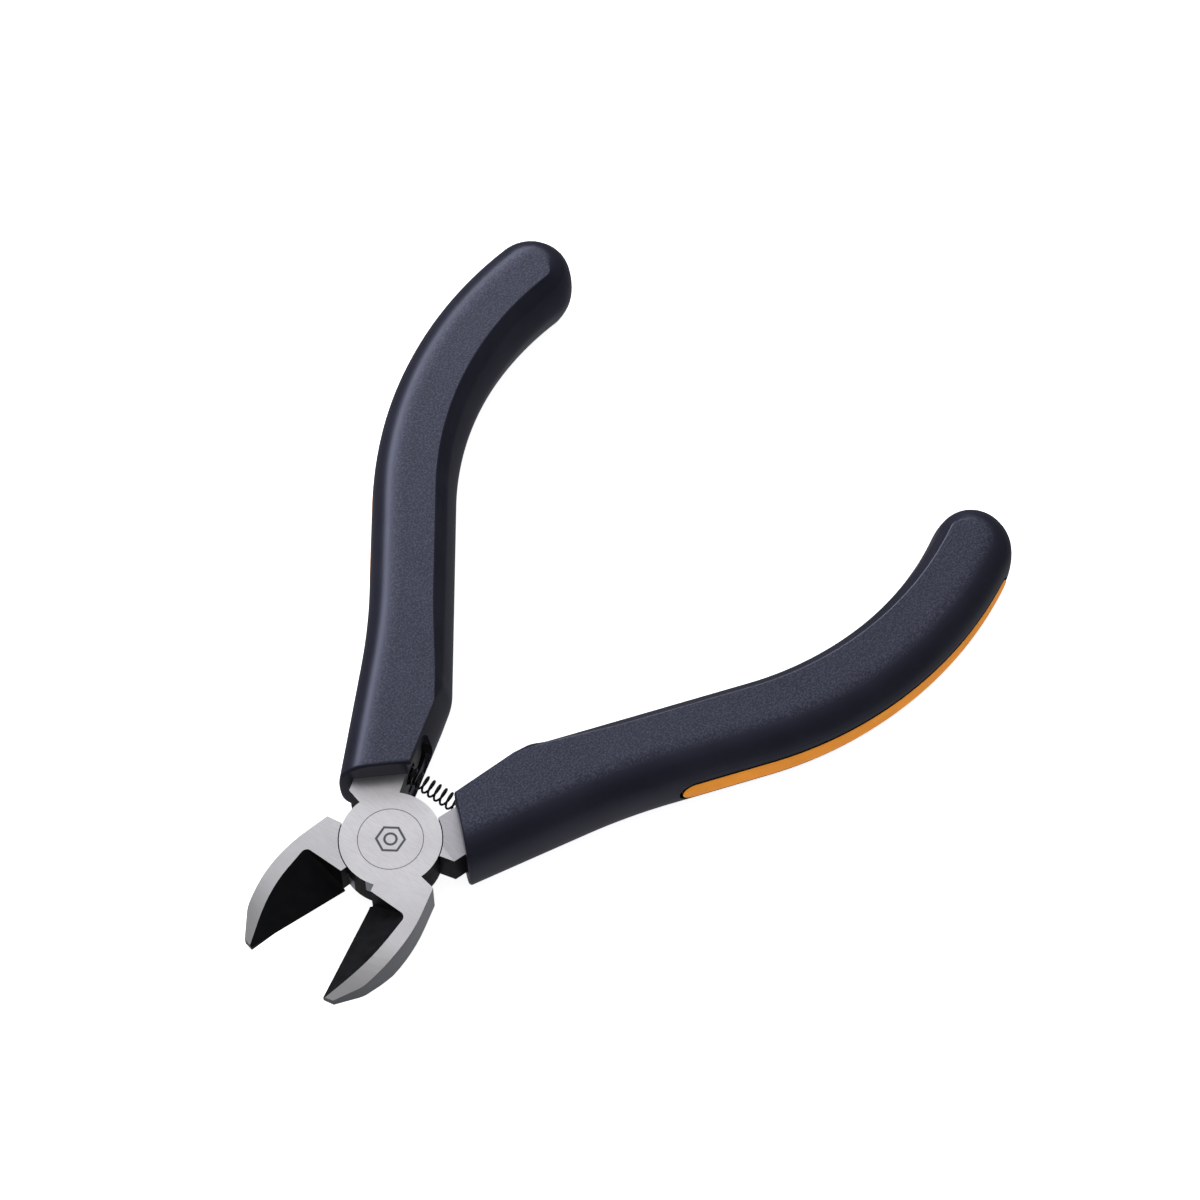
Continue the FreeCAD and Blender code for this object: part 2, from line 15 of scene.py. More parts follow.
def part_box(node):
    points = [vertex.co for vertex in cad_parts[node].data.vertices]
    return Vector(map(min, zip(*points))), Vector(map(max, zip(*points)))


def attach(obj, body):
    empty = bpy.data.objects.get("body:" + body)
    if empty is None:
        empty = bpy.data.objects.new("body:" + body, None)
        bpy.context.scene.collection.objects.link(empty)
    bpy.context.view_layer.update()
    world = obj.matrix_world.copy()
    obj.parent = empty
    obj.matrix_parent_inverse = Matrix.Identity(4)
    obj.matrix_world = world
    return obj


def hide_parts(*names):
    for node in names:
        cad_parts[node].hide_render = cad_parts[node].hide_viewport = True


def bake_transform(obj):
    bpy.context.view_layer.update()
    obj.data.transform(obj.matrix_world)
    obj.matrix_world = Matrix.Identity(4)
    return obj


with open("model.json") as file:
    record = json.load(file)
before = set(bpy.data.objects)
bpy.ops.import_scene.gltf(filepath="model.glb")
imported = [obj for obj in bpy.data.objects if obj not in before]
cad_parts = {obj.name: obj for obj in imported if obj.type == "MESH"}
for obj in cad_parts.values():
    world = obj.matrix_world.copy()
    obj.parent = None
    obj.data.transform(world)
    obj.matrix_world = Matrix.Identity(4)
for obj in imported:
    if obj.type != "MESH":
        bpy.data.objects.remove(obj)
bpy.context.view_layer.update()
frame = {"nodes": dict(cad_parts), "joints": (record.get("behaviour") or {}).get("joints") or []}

MM = 0.001
HINGE = frame["joints"][0]
PIVOT = Vector(HINGE["pos_m"])
HALF_OPENING = math.radians(HINGE["range_deg"][1]) / 2
STEEL_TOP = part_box("upper_half")[1].z
STEEL_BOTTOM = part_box("lower_half")[0].z
HALF_STEEL = (STEEL_TOP - STEEL_BOTTOM) / 2 / MM
HALF_GRIP = (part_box("upper_grip")[1].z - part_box("upper_grip")[0].z) / 2 / MM

# Side of the closing line that each half's handle lies on.
SIDES = {"upper": -1, "lower": 1}

# The handle's bow: concentric arcs between a straight front stretch and a straight end.
BOW_CENTRE = Vector((-71.3, -30.8))
BOW_FRONT = math.radians(68.8)
BOW_BACK = math.radians(115.4)
OUTER_RADIUS = 58.75
INNER_RADIUS = 46.35

# The grip's front face, from its inner side to its outer side.
FRONT_INNER = Vector((-11.0, 0.2))
FRONT_OUTER = Vector((-5.7, 10.5))
FRONT_OVERRUN = 4.0
FRONT_EDGE = 0.45
FRONT_EDGE_STEPS = 4
FRONT_SPACE = 0.3

# Corners of the grip's plan, as distances along the bow's two ends, and their radii.
KNUCKLE_AHEAD, KNUCKLE_RADIUS = 32.6, 6.0
TOE_PAST, TOE_RADIUS = 0.3, 5.2
END_CORNER, END_RADIUS = Vector((-100.7, 6.32)), 5.97
HEEL_PAST, HEEL_RADIUS = 4.33, 6.35
WAIST_AHEAD, WAIST_RADIUS = 21.5, 90.0

# The flat's straight edge from the grip's front to its corner at the knuckle.
FLAT_FRONT = Vector((-10.2, 1.40))
FLAT_KNUCKLE = Vector((-20.7, 1.75))

# How far the flat's edge lies inside the outline behind that corner.
FLAT_INSET_KNUCKLE = 2.3
FLAT_INSET_INNER = 2.82
FLAT_INSET_END = 4.6
FLAT_INSET_OUTER = 5.1
INSET_GROWTH = 14.0

# The grip's sides: a wall and a chamfer on the inner side, and a full rounding on the outer side.
WALL_RINGS = 8
CHAMFER_RINGS = 5
WALL_INSET = 1.2
WALL_BULGE = 1.5
CHAMFER_START = 0.73
CHAMFER_TAPER = 5.5
FLAT_RIM = Vector((0.15, 0.06))
WELD = 0.002
UPRIGHT_ZONE = 1.0
ROUND_FULLNESS = 0.84

# Notch that clears the spring, in the grip's inner side, and the deeper window beside the steel.
NOTCH_BACK = -16.2
NOTCH_HALF = 5.9
NOTCH_CORNER = 1.6
NOTCH_DEPTH = 1.6
WINDOW_DEPTH = 3.5
CUT_MARGIN = 14.0

# Inlay and its groove, along the grip's outer side.
INLAY_AHEAD = 13.4
INLAY_END_ANGLE = math.radians(115.3)
INLAY_HALF = 2.1
INLAY_DROP = 1.2
INLAY_DEPTH = 2.0
INLAY_PROUD = 0.1
INLAY_CROWN_EDGE = 0.12
CROWN_STEPS = 12
GROOVE_GAP = 0.5

# Return spring.
SPRING_BEHIND = 10.68
SPRING_HALF = 5.4
COIL_RADIUS = 1.14
WIRE_RADIUS = 0.17
COIL_TURNS = 11.5

# Rivet, with a small nut-shaped mark etched on its face.
RIVET_FACE = 4.67
MARK_FLAT = 1.75
MARK_HOLE = 0.85
MARK_LINE = 0.34
MARK_TURN = math.radians(34)

# Painted shade on the steel: where it starts and stops, away from the pivot, and how dark it gets towards
# the tips.
PAINTED_SHADE_START = 7.3
PAINTED_SHADE_END = 26.0
PAINTED_SHADE_TONE = 0.78
SATIN_PAINTED_SHADE_TONE = 0.34

# The forging's finishes, as material slots, the last a copy of the ground steel for the top of the shank,
# darkened there as painted shade on the lower half, and where along a half those of the jaw and shank
# start.
GROUND, SATIN, BLACK, GREY, SHANK = 0, 1, 2, 3, 4
JAW_START = 4.6
SHANK_TOP_START = -4.9
SHANK_SIDE_START = -7.2

# A level face deeper than this under the forging's own faces is inside the lap, and stays black.
LAP_DEPTH = 0.5

# A face whose normal is this close to upright is shaded flat.
LEVEL = 0.9999

# Tones of the ground steel, on each half's flats and on the top of its shank: one steel, with the lower
# half's flats darker and its shank darker still as painted shade.
FLAT_TONE_AND_SHADE = {"upper": (0.55, 0.527, 0.52), "lower": (0.48, 0.464, 0.46)}
SHANK_TONE_AND_SHADE = {"upper": (0.55, 0.527, 0.52), "lower": (0.38, 0.364, 0.37)}


# ---- curves in a half's closed frame --------------------------------------------------------------

def bow_point(radius, angle, along):
    """A point at a radius and angle round the bow, moved along its tangent towards the handle's end."""
    radial = Vector((math.cos(angle), math.sin(angle)))
    tangent = Vector((-math.sin(angle), math.cos(angle)))
    return BOW_CENTRE + radial * radius + tangent * along


def bow_corner(radius, start, end):
    """The corner from which a stretch of the bow is rounded."""
    reach = radius / math.cos((end - start) / 2)
    middle = (start + end) / 2
    return BOW_CENTRE + Vector((math.cos(middle), math.sin(middle))) * reach


def rounded_path(corners, step=0.8, arc_step=math.radians(6)):
    """Points and unit directions along an open path; inner corners are (point, radius)."""
    samples = []
    last_leave = corners[0][0]
    for index in range(1, len(corners)):
        point, radius = corners[index]
        heading = (point - corners[index - 1][0]).normalized()
        if index == len(corners) - 1:
            samples += straight_samples(last_leave, point, heading, step)
            samples.append((point, heading))
            break
        leaving = (corners[index + 1][0] - point).normalized()
        turn = heading.angle_signed(leaving)
        reach = radius * math.tan(abs(turn) / 2)
        enter = point - heading * reach
        samples += straight_samples(last_leave, enter, heading, step)
        pieces = max(2, math.ceil(abs(turn) / arc_step), math.ceil(abs(turn) * radius / step))
        centre = enter + Vector((heading.y, -heading.x)) * math.copysign(radius, turn)
        for piece in range(pieces):
            spin = Matrix.Rotation(-turn * piece / pieces, 2)
            samples.append((centre + spin @ (enter - centre), spin @ heading))
        last_leave = point + leaving * reach
    return samples


def straight_samples(start, end, heading, step):
    count = max(1, math.ceil((end - start).length / step))
    return [(start.lerp(end, piece / count), heading) for piece in range(count)]


def ease(value):
    value = min(max(value, 0.0), 1.0)
    return value * value * (3 - 2 * value)


def grip_path():
    """The grip's outline, from its inner side round the end to its outer side, past its front face."""
    knuckle = bow_point(INNER_RADIUS, BOW_FRONT, -KNUCKLE_AHEAD)
    waist = bow_point(OUTER_RADIUS, BOW_FRONT, -WAIST_AHEAD)
    forward = (FRONT_OUTER - waist).normalized()
    return rounded_path([
        (FRONT_INNER + Vector((FRONT_OVERRUN, 0)), 0),
        (knuckle, KNUCKLE_RADIUS),
        (bow_corner(INNER_RADIUS, BOW_FRONT, BOW_BACK), INNER_RADIUS),
        (bow_point(INNER_RADIUS, BOW_BACK, TOE_PAST), TOE_RADIUS),
        (END_CORNER, END_RADIUS),
        (bow_point(OUTER_RADIUS, BOW_BACK, HEEL_PAST), HEEL_RADIUS),
        (bow_corner(OUTER_RADIUS, BOW_FRONT, BOW_BACK), OUTER_RADIUS),
        (waist, WAIST_RADIUS),
        (FRONT_OUTER + forward * FRONT_OVERRUN, 0),
    ])


def reach_line(point, inward, place, along):
    """Distance inwards from a point to the line through a place."""
    return (place - point).cross(along) / inward.cross(along)


def inner_inset(point, inward):
    """Inset of the flat's edge on the grip's inner side: straight lines that meet at the knuckle."""
    knuckle = bow_point(INNER_RADIUS, BOW_FRONT, -KNUCKLE_AHEAD)
    backwards = Vector((-math.sin(BOW_FRONT), math.cos(BOW_FRONT)))
    grown = (FLAT_INSET_INNER - FLAT_INSET_KNUCKLE) * ease((knuckle.x - point.x) / INSET_GROWTH)
    if point.x < knuckle.x - KNUCKLE_RADIUS:
        return FLAT_INSET_KNUCKLE + grown
    front = reach_line(point, inward, FLAT_FRONT, FLAT_KNUCKLE - FLAT_FRONT)
    rear = reach_line(point, inward, FLAT_KNUCKLE, backwards) + grown
    return max(front, rear)


def flat_edge(point, heading):
    """At a place on the outline: the flat's inset, the side's roundness, and where the chamfer starts."""
    toe = bow_point(INNER_RADIUS, BOW_BACK, TOE_PAST)
    heel = bow_point(OUTER_RADIUS, BOW_BACK, HEEL_PAST)
    on_outer = heading.x > 0
    if on_outer:
        turned = ease(heading.x)
        inset = FLAT_INSET_END + (FLAT_INSET_OUTER - FLAT_INSET_END) * turned
        return inset, 1.0, CHAMFER_START
    if point.x > toe.x:
        grown = min(max((FLAT_KNUCKLE.x - point.x) / CHAMFER_TAPER, 0.0), 1.0)
        start = 1 - (1 - CHAMFER_START) * grown
        return inner_inset(point, Vector((heading.y, -heading.x))), 0.0, start
    across = ease((toe.x - point.x) / (toe.x - min(END_CORNER.x, heel.x)))
    inset = FLAT_INSET_INNER + (FLAT_INSET_END - FLAT_INSET_INNER) * across
    return inset, across, CHAMFER_START


def creased_side(ring, inset, chamfer_start):
    """Inset and height of one ring on the side with a wall and, behind the knuckle, a chamfer."""
    chamfered = chamfer_start < 1
    wall_inset = WALL_INSET if chamfered else inset
    wall_top = HALF_GRIP * chamfer_start
    if ring <= WALL_RINGS:
        share = ring / WALL_RINGS
        return wall_inset * share ** WALL_BULGE, wall_top * share
    if ring == WALL_RINGS + CHAMFER_RINGS or not chamfered:
        return inset, HALF_GRIP
    share = (ring - WALL_RINGS) / (CHAMFER_RINGS - 1)
    rim = FLAT_RIM * (1 - chamfer_start) / (1 - CHAMFER_START)
    return (
        wall_inset + (inset - rim.x - wall_inset) * share,
        wall_top + (HALF_GRIP - rim.y - wall_top) * share,
    )


def side_profile(inset, roundness, chamfer_start):
    """(inset, height) pairs from the middle of the grip up to the edge of its flat."""
    pairs = []
    for ring in range(WALL_RINGS + CHAMFER_RINGS + 1):
        share = ring / (WALL_RINGS + CHAMFER_RINGS)
        angle = share * math.pi / 2
        round_in = inset * (1 - math.cos(angle) ** ROUND_FULLNESS)
        round_up = UPRIGHT_ZONE * min(1.0, share * 4)
        round_up += (HALF_GRIP - UPRIGHT_ZONE) * math.sin(angle) ** ROUND_FULLNESS
        crease_in, crease_up = creased_side(ring, inset, chamfer_start)
        pairs.append((
            crease_in + (round_in - crease_in) * roundness,
            crease_up + (round_up - crease_up) * roundness,
        ))
    return pairs


def outer_inset(height):
    """How far the grip's outer side has curved in at a height from the middle."""
    rise = max(0.0, abs(height) - UPRIGHT_ZONE) / (HALF_GRIP - UPRIGHT_ZONE)
    sine = rise ** (1 / ROUND_FULLNESS)
    return FLAT_INSET_OUTER * (1 - math.sqrt(max(0.0, 1 - sine * sine)) ** ROUND_FULLNESS)


def outer_side(distance):
    """Point and inward direction on the outer side, at a distance from where the bow starts."""
    if distance < 0:
        point = bow_point(OUTER_RADIUS, BOW_FRONT, distance)
        return point, -Vector((math.cos(BOW_FRONT), math.sin(BOW_FRONT)))
    angle = BOW_FRONT + distance / OUTER_RADIUS
    radial = Vector((math.cos(angle), math.sin(angle)))
    return BOW_CENTRE + radial * OUTER_RADIUS, -radial


# ---- meshes --------------------------------------------------------------------------------------

def place_half(side):
    """Matrix from a half's closed frame, drawn with its handle on +Y, to the row frame."""
    turn = Matrix.Rotation(-side * HALF_OPENING, 4, "Z")
    mirror = Matrix.Diagonal((1, side, 1, 1))
    return Matrix.Translation(PIVOT) @ turn @ mirror @ Matrix.Scale(MM, 4)


def mesh_object(name, shape, matrix=None):
    """An object from a bmesh, moved to its place and with its faces pointing outwards."""
    if matrix is not None:
        bmesh.ops.transform(shape, matrix=matrix, verts=shape.verts)
    bmesh.ops.recalc_face_normals(shape, faces=shape.faces)
    mesh = bpy.data.meshes.new(name)
    shape.to_mesh(mesh)
    shape.free()
    made = bpy.data.objects.new(name, mesh)
    bpy.context.scene.collection.objects.link(made)
    return made


def smooth(piece, angle):
    """Smooth shading, kept sharp at edges that turn by more than an angle in degrees."""
    piece.data.shade_smooth()
    piece.data.set_sharp_from_angle(angle=math.radians(angle))
    weighted = piece.modifiers.new("even_shading", "WEIGHTED_NORMAL")
    weighted.keep_sharp = True


def apply_modifiers(piece):
    graph = bpy.context.evaluated_depsgraph_get()
    final = bpy.data.meshes.new_from_object(piece.evaluated_get(graph))
    piece.modifiers.clear()
    piece.data = final


def cut_away(piece, cutters):
    """Cuts each cutter out of the piece and removes the cutters."""
    for cutter in cutters:
        cut = piece.modifiers.new(cutter.name, "BOOLEAN")
        cut.operation = "DIFFERENCE"
        cut.solver = "EXACT"
        cut.material_mode = "TRANSFER"
        cut.object = cutter
    apply_modifiers(piece)
    for cutter in cutters:
        bpy.data.objects.remove(cutter)


def grip_shell():
    """The grip as a closed shell: rings up both sides of the outline, closed by a flat top and bottom."""
    shape = bmesh.new()
    across = (FRONT_OUTER - FRONT_INNER).normalized()
    ahead = Vector((across.y, -across.x))
    start = FRONT_INNER - ahead * FRONT_EDGE
    sections = []
    for point, heading in grip_path():
        inward = Vector((heading.y, -heading.x))
        pairs = side_profile(*flat_edge(point, heading))
        levels = [(inset, -height) for inset, height in reversed(pairs)] + pairs[1:]
        places = [point + inward * inset for inset, height in levels]
        if max((place - start).dot(ahead) for place in places) < -FRONT_SPACE:
            sections.append((places, [height for inset, height in levels], heading))
    columns = [section_column(shape, sections[0], start, ahead)]
    columns += [section_column(shape, section) for section in sections]
    columns.append(section_column(shape, sections[-1], start, ahead))
    for near, far in zip(columns, columns[1:]):
        for low in range(len(near) - 1):
            shape.faces.new((near[low], near[low + 1], far[low + 1], far[low]))
    for level in (0, -1):
        shape.faces.new([column[level] for column in columns])
    close_front(shape, columns[0] + columns[-1][::-1], ahead.to_3d())
    bmesh.ops.remove_doubles(shape, verts=shape.verts, dist=WELD)
    bmesh.ops.recalc_face_normals(shape, faces=shape.faces)
    return shape


def section_column(shape, section, start=None, ahead=None):
    """One section's vertices, slid along the grip to its front where that is given."""
    places, heights, heading = section
    column = []
    for place, height in zip(places, heights):
        if start is not None:
            place = place + heading * (start - place).dot(ahead) / heading.dot(ahead)
        column.append(shape.verts.new((place.x, place.y, height)))
    return column


def close_front(shape, loop, ahead):
    """Closes the shell's front with a rounded rim and a flat face."""
    rim = [vert for index, vert in enumerate(loop) if (vert.co - loop[index - 1].co).length > WELD]
    count = len(rim)
    area = sum(rim[index - 1].co.cross(rim[index].co).dot(ahead) for index in range(count))
    places = [vert.co.copy() for vert in rim]
    insets = []
    for index in range(count):
        before = (places[index] - places[index - 1]).normalized()
        after = (places[(index + 1) % count] - places[index]).normalized()
        inside = [ahead.cross(edge) * math.copysign(1, area) for edge in (before, after)]
        insets.append((inside[0] + inside[1]) / (1 + inside[0].dot(inside[1])))
    for step in range(1, FRONT_EDGE_STEPS + 1):
        angle = math.pi / 2 * step / FRONT_EDGE_STEPS
        forward = ahead * FRONT_EDGE * math.sin(angle)
        inset = FRONT_EDGE * (1 - math.cos(angle))
        ring = [shape.verts.new(place + forward + side * inset) for place, side in zip(places, insets)]
        for index in range(count):
            shape.faces.new((rim[index - 1], rim[index], ring[index], ring[index - 1]))
        rim = ring
    shape.faces.new(rim)


def slot_cutter(name, half, depth, matrix, material):
    """A slot with rounded back corners across the grip's inner side, open to the front."""
    shape = bmesh.new()
    outline = [(0.0, -half), (0.0, half)]
    for upwards, first_turn in ((1, 90), (-1, 180)):
        for step in range(9):
            angle = math.radians(first_turn + 90 * step / 8)
            middle = Vector((NOTCH_BACK + NOTCH_CORNER, (half - NOTCH_CORNER) * upwards))
            outline.append(middle + Vector((math.cos(angle), math.sin(angle))) * NOTCH_CORNER)
    floor = shape.faces.new([shape.verts.new((x, depth, z)) for x, z in outline])
    grown = bmesh.ops.extrude_face_region(shape, geom=[floor])
    moved = [item for item in grown["geom"] if isinstance(item, bmesh.types.BMVert)]
    bmesh.ops.translate(shape, verts=moved, vec=(0, -CUT_MARGIN, 0))
    cutter = mesh_object(name, shape, matrix)
    cutter.data.materials.append(material)
    return cutter


def strip_shape(grow, proud):
    """The inlay's strip, grown by a gap all round and, where it cuts a groove, standing proud.

    The crowned outer side is in the first material slot, and the flanks and back are in the second, which
    holds the painted shadow of the groove.
    """
    shape = bmesh.new()
    start = -INLAY_AHEAD - grow
    end = (INLAY_END_ANGLE - BOW_FRONT) * OUTER_RADIUS + grow
    half = INLAY_HALF + grow
    stations = []
    for step in range(13):
        stations.append(start + half * (1 - math.cos(math.pi / 2 * step / 12)))
    body = int((end - start - 2 * half) / 1.0)
    stations += [start + half + (end - start - 2 * half) * step / body for step in range(1, body)]
    for step in range(12, -1, -1):
        stations.append(end - half * (1 - math.cos(math.pi / 2 * step / 12)))
    sections = []
    for station in stations:
        from_end = min(station - start, end - station)
        narrow = 1.0 if from_end >= half else math.sqrt(max(0.0, 1 - (1 - from_end / half) ** 2))
        sections.append(strip_section(shape, station, max(half * narrow, 0.02), grow, proud))
    for near, far in zip(sections, sections[1:]):
        for index in range(len(near)):
            after = (index + 1) % len(near)
            face = shape.faces.new((near[index], near[after], far[after], far[index]))
            face.material_index = int(index >= CROWN_STEPS)
    shape.faces.new(sections[0])
    shape.faces.new(sections[-1])
    return shape


def strip_section(shape, station, half, grow, proud):
    """One section of the strip: a crowned outer side and a flat back."""
    point, inward = outer_side(station)
    places = []
    for step in range(CROWN_STEPS + 1):
        across = 2 * step / CROWN_STEPS - 1
        height = half * across - INLAY_DROP
        edge = INLAY_CROWN_EDGE * abs(across) ** 6
        inset = -proud if proud else outer_inset(height) - INLAY_PROUD + edge
        places.append((inset, height))
    back = INLAY_DEPTH + grow
    places += [(back, level - INLAY_DROP) for level in (half, 0.0, -half)]
    return [shape.verts.new((*(point + inward * inset), height)) for inset, height in places]


def make_grip(name, side):
    matrix = place_half(side)
    grip = mesh_object(f"{name}_grip_skin", grip_shell(), matrix)
    grip.data.materials.append(MATERIALS["grip"])
    tang = bmesh.new()
    tang.from_mesh(frame["nodes"][f"{name}_half"].data)
    bmesh.ops.remove_doubles(tang, verts=tang.verts, dist=MM / 1000)
    tang_cutter = mesh_object("tang_cutter", tang)
    groove_cutter = mesh_object("groove_cutter", strip_shape(GROOVE_GAP, 1.0), matrix)
    # Painted shadow: the faces cut by the tang, the window and the groove are near black, for the shade in
    # the bore, beside the steel and in the groove.
    tang_cutter.data.materials.append(MATERIALS["recess"])
    for face_slot in ("crown", "flank"):
        groove_cutter.data.materials.append(MATERIALS["recess"])
    notch = slot_cutter("notch_cutter", NOTCH_HALF, NOTCH_DEPTH, matrix, MATERIALS["grip"])
    window = slot_cutter("window_cutter", HALF_STEEL, WINDOW_DEPTH, matrix, MATERIALS["recess"])
    cut_away(grip, [notch, window, tang_cutter, groove_cutter])
    smooth(grip, 16)
    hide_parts(f"{name}_grip")
    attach(grip, f"{name}_arm")


def make_inlay(name, side):
    inlay = mesh_object(f"{name}_inlay_strip", strip_shape(0, 0), place_half(side))
    # The strip's flanks and back carry the painted shadow of the groove.
    for finish in ("inlay", "recess"):
        inlay.data.materials.append(MATERIALS[finish])
    smooth(inlay, 40)
    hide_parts(f"{name}_inlay")
    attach(inlay, f"{name}_arm")


def make_spring():
    """Coil with closed ends, standing across the tool between the two shanks."""
    shape = bmesh.new()
    rings = []
    steps = round(COIL_TURNS * 28)
    sides = 10
    middle = PIVOT / MM + Vector((-SPRING_BEHIND, 0, 0))
    lead = [coil_rise(step / steps) for step in range(steps + 1)]
    for step in range(steps + 1):
        angle = 2 * math.pi * COIL_TURNS * step / steps
        radial = Vector((math.cos(angle), 0, -math.sin(angle)))
        centre = middle + radial * COIL_RADIUS + Vector((0, (lead[step] - 0.5) * 2 * SPRING_HALF, 0))
        ring = []
        for corner in range(sides):
            spin = 2 * math.pi * corner / sides
            offset = radial * math.cos(spin) + Vector((0, 1, 0)) * math.sin(spin)
            ring.append(shape.verts.new(centre + offset * WIRE_RADIUS))
        rings.append(ring)
    for near, far in zip(rings, rings[1:]):
        for corner in range(sides):
            after = (corner + 1) % sides
            shape.faces.new((near[corner], near[after], far[after], far[corner]))
    shape.faces.new(rings[0])
    shape.faces.new(rings[-1])
    spring = mesh_object("coil_spring", shape, Matrix.Scale(MM, 4))
    spring.data.materials.append(MATERIALS["spring"])
    spring.data.shade_smooth()
    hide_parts("return_spring")
    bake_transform(spring)


def coil_rise(share):
    """Share of the spring's length at a share of its turns, wound close for a turn at each end."""
    closed = 1 / COIL_TURNS
    flat = 2 * WIRE_RADIUS / (2 * SPRING_HALF)
    if share < closed:
        return flat * share / closed
    if share > 1 - closed:
        return 1 - flat * (1 - share) / closed
    return flat + (1 - 2 * flat) * (share - closed) / (1 - 2 * closed)


def make_steel_half(name, side):
    """The forging's own shape, with its finish chosen face by face: ground bright or left black."""
    shape = bmesh.new()
    shape.from_mesh(frame["nodes"][f"{name}_half"].data)
    bmesh.ops.remove_doubles(shape, verts=shape.verts, dist=MM / 1000)
    to_closed = place_half(side).inverted()
    turn = to_closed.to_3x3().inverted().transposed()
    for face in shape.faces:
        place = to_closed @ face.calc_center_median()
        normal = (turn @ face.normal).normalized()
        face.material_index = steel_finish(place, normal)
    half = mesh_object(f"{name}_forging", shape)
    for finish in (f"{name}_ground", "satin_steel", "black_steel", "grey_steel", f"{name}_shank"):
        half.data.materials.append(MATERIALS[finish])
    smooth(half, 20)
    for face in half.data.polygons:
        face.use_smooth = abs(face.normal.z) < LEVEL
    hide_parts(f"{name}_half")
    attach(half, f"{name}_arm")


def steel_finish(place, normal):
    """Ground flats, with the top of the shank in a copy darkened as painted shade on the lower half; a
    satin wall outside the jaw, a grey inner side of the shank, and black for the rest."""
    outer_face = place.x > JAW_START or abs(place.z) > HALF_STEEL - LAP_DEPTH
    if abs(normal.z) > 0.9 and outer_face:
        return SHANK if place.x < SHANK_TOP_START and place.z > 0 else GROUND
    if place.x > JAW_START and normal.y < 0.1 and abs(normal.z) < 0.3:
        return SATIN
    if place.x < SHANK_SIDE_START and normal.y < -0.9:
        return GREY
    return BLACK


def make_rivet():
    rivet = frame["nodes"]["pivot_rivet"]
    rivet.data.materials.clear()
    rivet.data.materials.append(MATERIALS["rivet"])


# ---- materials -----------------------------------------------------------------------------------

class Nodes:
    """A material's node tree, with short calls to add and link nodes."""

    def __init__(self, name):
        self.material = bpy.data.materials.new(name)
        self.material.use_nodes = True
        self.tree = self.material.node_tree
        self.shader = self.tree.nodes["Principled BSDF"]
        self.place = self.add("ShaderNodeTexCoord").outputs["Object"]

    def add(self, kind, **settings):
        node = self.tree.nodes.new(kind)
        for key, value in settings.items():
            setattr(node, key, value)
        return node

    def link(self, source, target):
        self.tree.links.new(source, target)

    def set(self, **values):
        for key, value in values.items():
            self.shader.inputs[key.replace("_", " ")].default_value = value

    def noise(self, scale, detail=3.0, stretch=None, turn=0.0):
        """Noise with features of about one over scale metres, drawn out along a turned axis."""
        place = self.place
        if stretch is not None:
            mapping = self.add("ShaderNodeMapping")
            mapping.inputs["Rotation"].default_value = (0, 0, turn)
            mapping.inputs["Scale"].default_value = stretch
            self.link(place, mapping.inputs["Vector"])
            place = mapping.outputs["Vector"]
        noise = self.add("ShaderNodeTexNoise")
        noise.inputs["Scale"].default_value = scale
        noise.inputs["Detail"].default_value = detail
        self.link(place, noise.inputs["Vector"])
        return noise.outputs["Fac"]

    def span(self, source, low, high, new_low, new_high):
        ramp = self.add("ShaderNodeMapRange", clamp=True)
        self.link(source, ramp.inputs["Value"])
        ends = {"From Min": low, "From Max": high, "To Min": new_low, "To Max": new_high}
        for socket, value in ends.items():
            ramp.inputs[socket].default_value = value
        return ramp.outputs["Result"]

    def blend(self, factor, first, second):
        mix = self.add("ShaderNodeMix", data_type="RGBA")
        self.link(factor, mix.inputs["Factor"])
        for socket, value in ((mix.inputs[6], first), (mix.inputs[7], second)):
            if isinstance(value, tuple):
                socket.default_value = (*value, 1)
            else:
                self.link(value, socket)
        return mix.outputs[2]

    def maths(self, operation, first, second=None):
        node = self.add("ShaderNodeMath", operation=operation)
        for socket, value in zip(node.inputs, (first, second)):
            if value is None:
                continue
            if isinstance(value, (int, float)):
                socket.default_value = value
            else:
                self.link(value, socket)
        return node.outputs["Value"]

    def bump(self, height, strength, distance, before=None):
        bump = self.add("ShaderNodeBump")
        bump.inputs["Strength"].default_value = strength
        bump.inputs["Distance"].default_value = distance
        self.link(height, bump.inputs["Height"])
        if before is not None:
            self.link(before, bump.inputs["Normal"])
        return bump.outputs["Normal"]

    def facing_up(self):
        """One on faces that lie level, up or down, and zero on the sides."""
        normal = self.add("ShaderNodeNewGeometry").outputs["Normal"]
        split = self.add("ShaderNodeSeparateXYZ")
        self.link(normal, split.inputs["Vector"])
        return self.span(self.maths("ABSOLUTE", split.outputs["Z"]), 0.93, 0.995, 0.0, 1.0)


def grip_material():
    nodes = Nodes("grip_skin_finish")
    flat = nodes.facing_up()
    speckle = nodes.noise(3800, 3.0)
    grain = nodes.noise(2600, 4.0)
    cloud = nodes.noise(120, 3.0)
    mottle = nodes.span(cloud, 0.35, 0.65, 0, 1)
    base = nodes.blend(mottle, (0.0105, 0.0108, 0.0185), (0.0145, 0.0149, 0.0245))
    sparkle = nodes.maths("MULTIPLY", nodes.span(speckle, 0.42, 0.70, 0, 1), flat)
    colour = nodes.blend(sparkle, base, (0.055, 0.055, 0.077))
    nodes.link(colour, nodes.shader.inputs["Base Color"])
    rough = nodes.span(nodes.maths("MULTIPLY", grain, flat), 0.0, 0.8, 0.33, 0.62)
    nodes.link(rough, nodes.shader.inputs["Roughness"])
    height = nodes.maths("MULTIPLY", grain, flat)
    nodes.link(nodes.bump(height, 0.35, 0.00008), nodes.shader.inputs["Normal"])
    nodes.set(Specular_IOR_Level=0.40, Specular_Tint=(0.74, 0.76, 1.0, 1))
    return nodes.material


